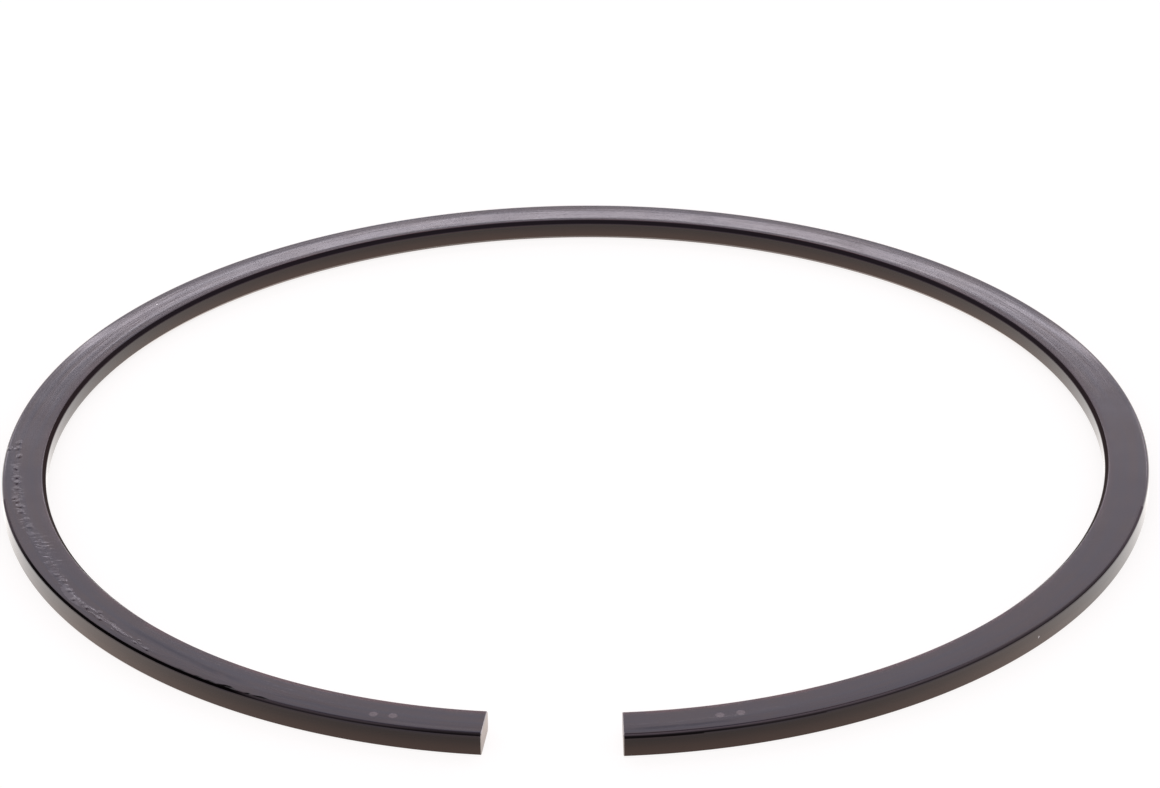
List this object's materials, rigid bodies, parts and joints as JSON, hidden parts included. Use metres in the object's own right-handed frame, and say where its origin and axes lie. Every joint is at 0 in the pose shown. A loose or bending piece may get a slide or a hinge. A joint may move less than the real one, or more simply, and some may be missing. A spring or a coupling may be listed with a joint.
{
  "type": "piston ring",
  "caption": "Split compression piston ring of black-coated cast iron, with a taper-faced section and its gap sprung open, that seals a piston in its cylinder.",
  "frame": {"origin": "middle of the ring's outline on its lower side face, halfway between the back and the tips", "axes": "+Z along the ring's axis, out of the upper side face; +Y from the gap to the back; +X across the ring"},
  "size_m": [0.078, 0.0766, 0.0015],
  "materials": {
    "black_coated_iron": "semi-gloss black phosphate coat with a light film of oil"
  },
  "bodies": {
    "root": {"compression_ring": "black_coated_iron"}
  },
  "joints": []
}
